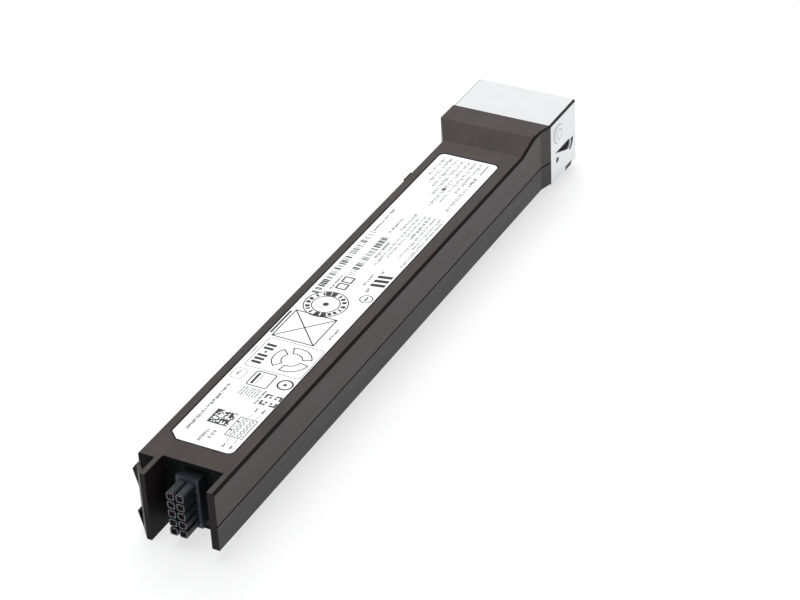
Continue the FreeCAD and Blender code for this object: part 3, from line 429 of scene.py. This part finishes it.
# Rings: centre, radius, line width. Spots: centre, radius
RINGS = (((24.8, 47.6), 3.1, 0.75), (BLOCK_RING, 9.3, 0.5), (BLOCK_RING, 5.9, 0.5),
         ((25.1, 113.9), 2.7, 0.45))
SPOTS = (((24.8, 47.6), 0.8), (BLOCK_RING, 1.3))
LEAST_SIDES, SIDES_PER_MM, SPOT_SIDES, CORNER_SIDES = 14, 6.5, 20, 5
# The plan's ten round holes: across, then along
PLAN_HOLES = [(across, 11.6 + 2.3 * hole) for across in (22.4, 25.3) for hole in range(5)]
PLAN_HOLE_RADIUS, PLAN_HOLE_LINE = 0.85, 0.3
# Three outlined bent bars: their shared centre, first angles, sweep and line, and the radius and
# the sides of their outer and inner edges
BENT_BARS, BENT_BAR_STARTS = (18.6, 63.6), (20.0, 140.0, 260.0)
BENT_BAR_SWEEP, BENT_BAR_LINE = 92.0, 0.5
BENT_BAR_OUTER, BENT_BAR_INNER = (8.1, 8), (4.3, 5)
# Three slanted bars, each from its near corner
SLANTED_BARS = [(21.6, 123.2 + 3.3 * bar) for bar in range(3)]
SLANTED_BAR_LENGTH, SLANTED_BAR_WIDTH, SLANT = 6.2, 2.0, 1.2
# Strips of upright bars: left, right, near, far. Bars and gaps of chance widths
BAR_STRIPS = ((8.6, 11.8, 127.4, 159.6), (1.6, 4.8, 109.6, 156.4))
BAR_WIDTHS, BAR_GAPS = (0.3, 0.3, 0.6, 0.95), (0.3, 0.3, 0.55, 1.1)
# Lines of dashes, as shares of a line's height: from one dash to the next, the gap after a group,
# the tall dashes, and the foot and height of the short ones beside them
DASH_PITCH, GROUP_GAP, GROUP_OF = 0.66, 0.55, (2, 8)
TALL_DASHES = (0.7, 0.8, 1.0)
SHORT_FEET, SHORT_DASHES, SHORT_SHARE = (0.0, 0.0, 0.3), (0.4, 0.55, 0.7), 0.75
SHORT_START, SHORT_END = 1.5, 2.3   # in widths of a dash
# The lines: left, height, near, far, weight
LINES = (
    # the plan's callouts
    (22.4, 1.2, 2.6, 5.4, 0.25), (22.4, 1.2, 26.8, 30.4, 0.25),
    (25.6, 1.2, 2.6, 5.4, 0.25), (25.6, 1.2, 26.8, 30.4, 0.25),
    # round the chequered square
    (14.4, 1.8, 5.4, 11.2, 0.2), (11.6, 1.8, 1.8, 11.2, 0.2), (3.7, 1.5, 6.6, 39.8, 0.25),
    (19.5, 1.2, 31.9, 41.5, 0.25),
    # the fine block, by the round frame, over the blocks, by the crossed box
    *[(10.4 + 1.2 * line, 0.7, 34.8, 41.0, 0.25) for line in range(7)],
    (3.0, 1.6, 45.4, 49.4, 0.2), (1.0, 0.8, 60.0, 66.6, 0.25), (24.9, 1.3, 81.8, 90.4, 0.25),
    # in the ring of blocks and round the slanted bars
    *[(8.1 + 1.3 * line, 0.7, 100.9, 102.1, 0.25) for line in range(3)],
    (21.7, 1.7, 118.0, 121.8, 0.22), (21.6, 1.5, 133.4, 135.4, 0.25),
    (18.7, 1.1, 122.4, 131.4, 0.25), (7.2, 1.1, 114.2, 126.0, 0.25),
    # after the two strips
    (9.4, 1.3, 162.4, 175.2, 0.25), (2.5, 1.3, 161.8, 180.8, 0.25),
    # the middle block
    (26.4, 1.4, 140.2, 181.0, 0.18), (24.6, 1.4, 154.4, 181.0, 0.18),
    (22.3, 1.4, 146.0, 181.0, 0.18), (19.8, 1.6, 160.8, 181.0, 0.24),
    (17.6, 1.4, 144.8, 181.0, 0.18), (15.4, 1.4, 137.4, 181.0, 0.18),
    (13.0, 1.5, 141.6, 156.4, 0.24), (13.0, 1.5, 166.4, 181.0, 0.24),
    # the far block
    (23.4, 1.9, 188.2, 208.6, 0.17), (23.4, 1.9, 209.4, 218.0, 0.24),
    (20.4, 1.9, 202.4, 229.6, 0.17), (17.4, 1.9, 193.2, 229.6, 0.17),
    (14.5, 1.9, 188.6, 229.6, 0.17), (11.5, 1.9, 197.6, 229.6, 0.17),
    (8.5, 1.9, 203.6, 229.6, 0.17), (5.6, 1.9, 207.4, 229.6, 0.17),
    (2.6, 1.9, 212.0, 229.6, 0.17),
)

film_low, film_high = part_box("label")
chance = random.Random(PRINT_SEED)
inked = []


def over_film(corners, rise):
    """Places in metres of a face's corners, from places across and along the film."""
    return [(film_low[0] + across * MM, film_low[1] + along * MM, film_high[2] + rise)
            for across, along in corners]


def ink(*faces):
    inked.extend(over_film(corners, INK_THICKNESS) for corners in faces)


def ink_bar(left, right, near, far):
    ink([(left, near), (right, near), (right, far), (left, far)])


def stroke(points, width, closed=False):
    """The faces of a line of even width through points, mitred at its corners."""
    count = len(points)
    joints = range(count if closed else count - 1)
    normals = []
    for joint in joints:
        (x0, y0), (x1, y1) = points[joint], points[(joint + 1) % count]
        length = math.hypot(x1 - x0, y1 - y0)
        normals.append(((y0 - y1) / length, (x1 - x0) / length))
    sides = []
    for index, (x, y) in enumerate(points):
        before = normals[index - 1] if closed or index else normals[0]
        after = normals[index] if index < len(normals) else normals[-1]
        turn_x, turn_y = before[0] + after[0], before[1] + after[1]
        reach = width / (turn_x * turn_x + turn_y * turn_y)
        sides.append(((x + turn_x * reach, y + turn_y * reach),
                      (x - turn_x * reach, y - turn_y * reach)))
    faces = []
    for joint in joints:
        left, right = sides[joint]
        next_left, next_right = sides[(joint + 1) % count]
        faces.append([right, next_right, next_left, left])
    return faces


def arc(centre, radius, start, end, steps):
    """Points on an arc, by angles in degrees from the across direction."""
    turns = [math.radians(start + (end - start) * step / steps) for step in range(steps + 1)]
    return [(centre[0] + radius * math.cos(turn), centre[1] + radius * math.sin(turn))
            for turn in turns]


def circle(centre, radius, sides):
    return arc(centre, radius, 0.0, 360.0, sides)[:-1]


def ink_ring(centre, radius, width):
    sides = max(LEAST_SIDES, round(radius * SIDES_PER_MM))
    ink(*stroke(circle(centre, radius, sides), width, True))


def ink_round_frame(left, right, near, far, corner, width):
    quarters = ((right - corner, far - corner, 0.0), (left + corner, far - corner, 90.0),
                (left + corner, near + corner, 180.0), (right - corner, near + corner, 270.0))
    loop = [point for across, along, start in quarters
            for point in arc((across, along), corner, start, start + 90.0, CORNER_SIDES)]
    ink(*stroke(loop, width, True))


def ink_line(left, height, near, far, weight):
    """Groups of upright dashes, from the far end to the near one. Most dashes have a shorter one
    beside them."""
    pitch = height * DASH_PITCH
    dash = height * weight
    place = far
    while place > near:
        for one in range(chance.randint(*GROUP_OF)):
            place -= pitch
            if place < near:
                break
            ink_bar(left, left + height * chance.choice(TALL_DASHES), place, place + dash)
            if chance.random() < SHORT_SHARE:
                foot = left + height * chance.choice(SHORT_FEET)
                ink_bar(foot, foot + height * chance.choice(SHORT_DASHES),
                        place + dash * SHORT_START, place + dash * SHORT_END)
        place -= pitch * GROUP_GAP


def ink_block_row(left, height, near, far, block, gap):
    place = near
    while place + block <= far:
        ink_bar(left, left + height, place, place + block)
        place += block + gap


def ink_bar_strip(left, right, near, far):
    place = near
    while place < far:
        width = chance.choice(BAR_WIDTHS)
        ink_bar(left, right, place, min(place + width, far))
        place += width + chance.choice(BAR_GAPS)


def ink_chequered_square(corner, side, count):
    """Small squares by chance, with two solid edges."""
    left, near = corner
    step = side / count
    for row in range(count):
        for column in range(count):
            if row == 0 or column == 0 or chance.random() < 0.5:
                ink_bar(left + step * row, left + step * (row + 1),
                        near + step * column, near + step * (column + 1))


def ink_ring_of_blocks():
    for block in range(BLOCKS):
        heavy = block % BLOCKS_IN_HALF in HEAVY_BLOCKS
        start = block * 360.0 / BLOCKS + chance.uniform(0.0, BLOCK_SHIFT)
        end = start + (HEAVY_SWEEP if heavy else chance.uniform(*LIGHT_SWEEP))
        ink(*stroke(arc(BLOCK_RING, BLOCK_RADIUS, start, end, 4),
                    HEAVY_WIDTH if heavy else LIGHT_WIDTH))


def thicken(piece):
    """Gives a flat layer a body below its face, which stops just short of what it lies on."""
    body = piece.modifiers.new("body", "SOLIDIFY")
    body.thickness = INK_BODY
    body.offset = -1.0


def printing_ink():
    material, tree, where = new_material("printing_ink")
    spread = noise(where, INK_SPREAD)
    paint(tree, {"Base Color": mix(spread, INK_DARK, INK_PALE), "Roughness": spread * 0.2 + 0.4})
    return material


ink_chequered_square(*CHEQUERED)
ink_ring_of_blocks()
for strip in BAR_STRIPS:
    ink_bar_strip(*strip)
for line in LINES:
    ink_line(*line)
for width, closed, points in STROKES:
    ink(*stroke(points, width, closed))
for one_bar in BARS:
    ink_bar(*one_bar)
for row in BLOCK_ROWS:
    ink_block_row(*row)
for round_frame in ROUND_FRAMES:
    ink_round_frame(*round_frame)
for centre, radius, width in RINGS:
    ink_ring(centre, radius, width)
for centre in PLAN_HOLES:
    ink_ring(centre, PLAN_HOLE_RADIUS, PLAN_HOLE_LINE)
for centre, radius in SPOTS:
    ink(circle(centre, radius, SPOT_SIDES))
for start in BENT_BAR_STARTS:
    end = start + BENT_BAR_SWEEP
    (outer, outer_sides), (inner, inner_sides) = BENT_BAR_OUTER, BENT_BAR_INNER
    ink(*stroke(arc(BENT_BARS, outer, start, end, outer_sides)
                + arc(BENT_BARS, inner, end, start, inner_sides), BENT_BAR_LINE, True))
for left, near in SLANTED_BARS:
    right = left + SLANTED_BAR_LENGTH
    ink([(left, near), (right, near + SLANT), (right, near + SLANT + SLANTED_BAR_WIDTH),
         (left, near + SLANTED_BAR_WIDTH)])

label_print = flat_piece("label_print", inked, printing_ink())
thicken(label_print)
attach(label_print, "root")

# The rim of the label's recess: a thin dark strip of painted shadow, which lies over the gap from
# the film's edge to the lip of the recess.

RIM_WIDTH = 0.55
RIM_OVER_FILM = 0.17 * MM       # just above the lip of the recess
# Colours of the painted shadow round the film
RIM_SHADOW_DARK, RIM_SHADOW_PALE = (0.006, 0.005, 0.005), (0.012, 0.010, 0.010)
MOULD_CLOUD, MOULD_FLOW, FINE_GRAIN = 55.0, 900.0, 5200.0


def film_outline():
    """The corners of the film's top in order, in mm from its near left corner."""
    film = bmesh.new()
    film.from_mesh(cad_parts["label"].data)
    bmesh.ops.remove_doubles(film, verts=film.verts, dist=SAME_PLACE)
    top = [face for face in film.faces if face.normal.z > 0.9]
    rim = [edge for face in top for edge in face.edges
           if sum(other in top for other in edge.link_faces) == 1]
    first, corner = rim.pop(0).verts
    loop = [corner]
    while corner != first:
        edge = next(other for other in corner.link_edges if other in rim)
        rim.remove(edge)
        corner = edge.other_vert(corner)
        loop.append(corner)
    points = [((corner.co.x - film_low[0]) / MM, (corner.co.y - film_low[1]) / MM)
              for corner in loop]
    film.free()
    return points


def moved_out(points, distance):
    """The outline, larger by a distance on every side."""
    half_across, half_along = [(high - low) / MM / 2
                               for low, high in zip(film_low[:2], film_high[:2])]
    return [(across + distance * (across / half_across - 1.0),
             along + distance * (along / half_along - 1.0)) for across, along in points]


def moulded(name, dark, pale, rough, grain=FINE_GRAIN, depth=GRAIN_DEPTH, specular=0.5):
    """A moulded or pressed surface: cloudy between two colours, with a fine grain."""
    material, tree, where = new_material(name)
    cloud = noise(where, MOULD_CLOUD, 4.0)
    flow = noise(where, MOULD_FLOW)
    paint(tree, {"Base Color": mix((cloud - 0.35) * 2.2, dark, pale),
                 "Roughness": flow * 0.10 + cloud * 0.08 + rough,
                 "Specular IOR Level": specular}, noise(where, grain), depth)
    return material


rim_faces = stroke(moved_out(film_outline(), RIM_WIDTH / 2), RIM_WIDTH, True)
# The painted shadow: a dark line laid round the film's edge
recess_shadow_line = flat_piece("recess_shadow_line", [over_film(corners, RIM_OVER_FILM) for corners in rim_faces],
                        moulded("rim_painted_shadow", RIM_SHADOW_DARK, RIM_SHADOW_PALE, 0.8, specular=0.1))
thicken(recess_shadow_line)
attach(recess_shadow_line, "root")

# The end cap: one blank of zinc-plated steel, folded over the head's top, sides and end, and held
# by a domed rivet in each side. Its bends are painted dark, a painted dark reflection, and two
# rings on each rivet, at the dome's rim and round its pin, are painted grey as painted shade.

ZINC, ZINC_PALE = (0.76, 0.77, 0.78), (0.84, 0.845, 0.85)
BRUSH_STRETCH, BRUSH_SCALE, BRUSH_DEPTH = 0.05, 1800.0, 0.006 * MM
ZINC_CLOUD = 120.0
# Painted dark reflection along the cap's bends
BEND_PAINTED_REFLECTION = (0.03, 0.028, 0.027)
# Painted shade in two rings on each rivet
RIVET_RING_SHADE = (0.42, 0.42, 0.42)
RIVET_RIM, RIVET_PIN = 4.5 * MM, 2.5 * MM
RIVET_LINE_HALF_WIDTH = 0.21 * MM
IN_A_BEND = (0.25, 0.35)        # how far a surface turns sideways, from flat into a bend
PAST_A_BEND = (0.93, 0.99)


def zinc_plate(name):
    """Brushed zinc plate: the material, its tree, its place and its even colour."""
    material, tree, where = new_material(name)
    brushed = drawn_noise(where, BRUSH_STRETCH, BRUSH_SCALE)
    cloud = noise(where, ZINC_CLOUD, 4.0)
    paint(tree, {"Roughness": brushed * 0.12 + cloud * 0.1 + 0.30, "Metallic": 0.85},
          brushed, BRUSH_DEPTH)
    return material, tree, where, mix(cloud, ZINC, ZINC_PALE)


def bent_zinc():
    material, tree, where, plain = zinc_plate("bent_zinc")
    sideways = facing(tree)[0].size()
    bend = sideways.within(*IN_A_BEND) - sideways.within(*PAST_A_BEND)
    # Painted dark reflection: the bends are darkened
    paint(tree, {"Base Color": mix(bend, plain, BEND_PAINTED_REFLECTION)})
    return material


def rivet_zinc():
    material, tree, where, plain = zinc_plate("rivet_zinc")
    low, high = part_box("cap_rivets")
    along, up = [split(where)[axis] - (low[axis] + high[axis]) / 2 for axis in (1, 2)]
    out = (along * along + up * up).maths("SQRT")
    # Painted shade: rings at the dome's rim and round its pin
    lines = (((out - RIVET_RIM).size() < RIVET_LINE_HALF_WIDTH)
             + ((out - RIVET_PIN).size() < RIVET_LINE_HALF_WIDTH))
    paint(tree, {"Base Color": mix(lines, plain, RIVET_RING_SHADE)})
    return material


dress("end_cap", bent_zinc())
dress("cap_rivets", rivet_zinc())

# The connector: a glass-filled moulded housing with ten silos, and box contacts of plated copper
# alloy, pushed into the silos from behind. The housing's faces turned to the near end, the silos'
# mouths, are painted paler: a painted highlight.

HOUSING_DARK, HOUSING_PALE = (0.014, 0.016, 0.021), (0.026, 0.029, 0.036)
HOUSING_CLOUD = 200.0
# Painted highlight on the faces turned to the near end
MOUTH_PAINTED_HIGHLIGHT = (0.085, 0.092, 0.110)
MOUTHS = (0.7, 0.95)            # how far a surface turns to the near end
COPPER_DARK, COPPER_PALE = (0.20, 0.06, 0.035), (0.42, 0.16, 0.10)
POLISH_MARKS, POLISH_DEPTH = 900.0, 0.004 * MM


def housing_plastic():
    material, tree, where = new_material("housing_plastic")
    cloud = noise(where, HOUSING_CLOUD, 3.0)
    # Painted highlight: faces turned to the near end are painted paler
    mouth = (facing(tree)[1] * -1.0).within(*MOUTHS)
    paint(tree, {"Base Color": mix(mouth, mix(cloud, HOUSING_DARK, HOUSING_PALE), MOUTH_PAINTED_HIGHLIGHT),
                 "Roughness": cloud * 0.15 + 0.34, "Specular IOR Level": 0.34},
          noise(where, FINE_GRAIN), GRAIN_DEPTH)
    return material


def metal(name, dark, pale, rough):
    """A bare metal, slightly uneven in colour and polish."""
    material, tree, where = new_material(name)
    cloud = noise(where, POLISH_MARKS, 3.0)
    paint(tree, {"Base Color": mix(cloud, dark, pale), "Roughness": cloud * 0.15 + rough,
                 "Metallic": 1.0}, cloud, POLISH_DEPTH)
    return material


dress("connector_housing", housing_plastic())
contact_copper = metal("contact_copper", COPPER_DARK, COPPER_PALE, 0.4)
for node in ("connector_contacts", "link_pins"):
    dress(node, contact_copper)

# The circuit boards: glass laminate under dark green solder mask, one standing behind the connector
# and one lying above the cells' near end. Moulded and ceramic components are soldered on.

# The solder mask painted near black as painted shade, and a bright spot of painted light
SHADED_MASK_DARK, SHADED_MASK_PALE = (0.001, 0.005, 0.0035), (0.0015, 0.007, 0.005)
LIT_SPOT_GREEN = (0.04, 0.45, 0.32)
LIT_SPOT_ACROSS, LIT_SPOT_UP = 13.33 * MM, 28.29 * MM
LIT_SPOT_RADIUS = 0.3 * MM
BOARD_BACK = NOTCH_END + 5.0 * MM
TRACK_SPACING, TRACK_EDGE = 420.0, 0.06
WEAVE, WEAVE_DEPTH = 700.0, 0.01 * MM
MOULDED_DARK, MOULDED_PALE = (0.016, 0.016, 0.017), (0.028, 0.028, 0.029)
CERAMIC, CERAMIC_PALE = (0.50, 0.44, 0.34), (0.62, 0.56, 0.46)


def solder_mask():
    """Dark green solder mask over tracks, painted near black as painted shade, with one small
    bright green spot at the standing board's upper right, a painted patch of light.
    """
    material, tree, where = new_material("solder_mask")
    weave = noise(where, WEAVE)
    to_track = add_node(tree, "TexVoronoi", {"feature": "DISTANCE_TO_EDGE"},
                        {"Vector": where, "Scale": TRACK_SPACING})
    across, along, up = split(where)
    aside, above = across - LIT_SPOT_ACROSS, up - LIT_SPOT_UP
    # Painted light: one bright green spot at the standing board's upper right
    lit_spot = (aside * aside + above * above < LIT_SPOT_RADIUS ** 2) * (along < BOARD_BACK)
    mask = mix(to_track < TRACK_EDGE, SHADED_MASK_DARK, SHADED_MASK_PALE)
    paint(tree, {"Base Color": mix(lit_spot, mask, LIT_SPOT_GREEN), "Roughness": weave * 0.1 + 0.35,
                 "Specular IOR Level": 0.25}, weave, WEAVE_DEPTH)
    return material


board_green = solder_mask()
for node in ("connector_board", "control_board"):
    dress(node, board_green)
component_black = moulded("component_black", MOULDED_DARK, MOULDED_PALE, 0.5)
for node in ("link_header", "lead_header", "charger_chip", "gauge_chip", "power_inductor",
             "power_transistors", "sense_resistors"):
    dress(node, component_black)
pale_ceramic = moulded("pale_ceramic", CERAMIC, CERAMIC_PALE, 0.5)
for node in ("thermal_fuse", "chip_capacitors", "thermistor"):
    dress(node, pale_ceramic)

# The cell pack: six round cells in shrink sleeves, laid in two rows between foam pads, and joined
# by spot-welded nickel strips. Insulated leads run from the strips to the control board.

SLEEVE_DARK, SLEEVE_PALE = (0.03, 0.10, 0.34), (0.05, 0.14, 0.42)
NICKEL_DARK, NICKEL_PALE = (0.58, 0.55, 0.50), (0.72, 0.70, 0.66)
FOAM_DARK, FOAM_PALE = (0.10, 0.10, 0.10), (0.16, 0.16, 0.16)
SLEEVE_GRAIN, FOAM_PORES, PORE_DEPTH = 1500.0, 1200.0, 0.1 * MM
# Each lead's insulation: its nodes, dark and pale colours
INSULATION = {"lead_red": (("positive_lead",), (0.42, 0.02, 0.02), (0.52, 0.03, 0.03)),
              "lead_black": (("negative_lead", "thermistor_lead"),
                             (0.015, 0.015, 0.015), (0.025, 0.025, 0.025)),
              "lead_white": (("sense_lead_front", "sense_lead_rear"),
                             (0.70, 0.70, 0.68), (0.80, 0.80, 0.78))}

sleeve_blue = moulded("sleeve_blue", SLEEVE_DARK, SLEEVE_PALE, 0.25, SLEEVE_GRAIN)
for row in ("left", "right"):
    for station in ("front", "middle", "rear"):
        dress("cell_%s_%s" % (row, station), sleeve_blue)
nickel = metal("nickel", NICKEL_DARK, NICKEL_PALE, 0.28)
for node in ("strip_front", "strip_middle_front", "strip_middle_rear", "strip_rear"):
    dress(node, nickel)
foam_grey = moulded("foam_grey", FOAM_DARK, FOAM_PALE, 0.8, FOAM_PORES, PORE_DEPTH)
for node in ("foam_front", "foam_rear"):
    dress(node, foam_grey)
for insulation, (leads, dark, pale) in INSULATION.items():
    insulator = moulded(insulation, dark, pale, 0.4)
    for node in leads:
        dress(node, insulator)

# The screws: zinc-plated steel. Four with a cross recess hold the lower shell to the upper one, and
# two hold the control board. The cross recesses are painted black as painted shade.

STEEL_DARK, STEEL_PALE = (0.45, 0.45, 0.46), (0.60, 0.60, 0.61)
# Painted shade in the cross recesses
RECESS_PAINTED_SHADE = (0.03, 0.03, 0.03)
SCREW_HEAD_RADIUS = 2.4 * MM
ARM_HALF_LENGTH, ARM_HALF_WIDTH = 1.3 * MM, 0.3 * MM


def cross_recess(where):
    """1 in the cross recess of each head. The screws stand at the corners of the group's box."""
    low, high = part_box("case_screws")
    from_screw = []
    for axis in (0, 1):
        middle = (low[axis] + high[axis]) / 2
        to_screw = (high[axis] - low[axis]) / 2 - SCREW_HEAD_RADIUS
        from_screw.append(((split(where)[axis] - middle).size() - to_screw).size())
    across, along = from_screw
    return ((across < ARM_HALF_LENGTH) * (along < ARM_HALF_WIDTH)).or_more(
        (along < ARM_HALF_LENGTH) * (across < ARM_HALF_WIDTH))


def recessed_steel():
    material, tree, where = new_material("recessed_steel")
    cloud = noise(where, POLISH_MARKS, 3.0)
    steel = mix(cloud, STEEL_DARK, STEEL_PALE)
    # Painted shade: the cross recess of each head is painted black
    paint(tree, {"Base Color": mix(cross_recess(where), steel, RECESS_PAINTED_SHADE),
                 "Roughness": cloud * 0.15 + 0.3, "Metallic": 1.0}, cloud, POLISH_DEPTH)
    return material


dress("case_screws", recessed_steel())
dress("board_screws", metal("plain_steel", STEEL_DARK, STEEL_PALE, 0.3))
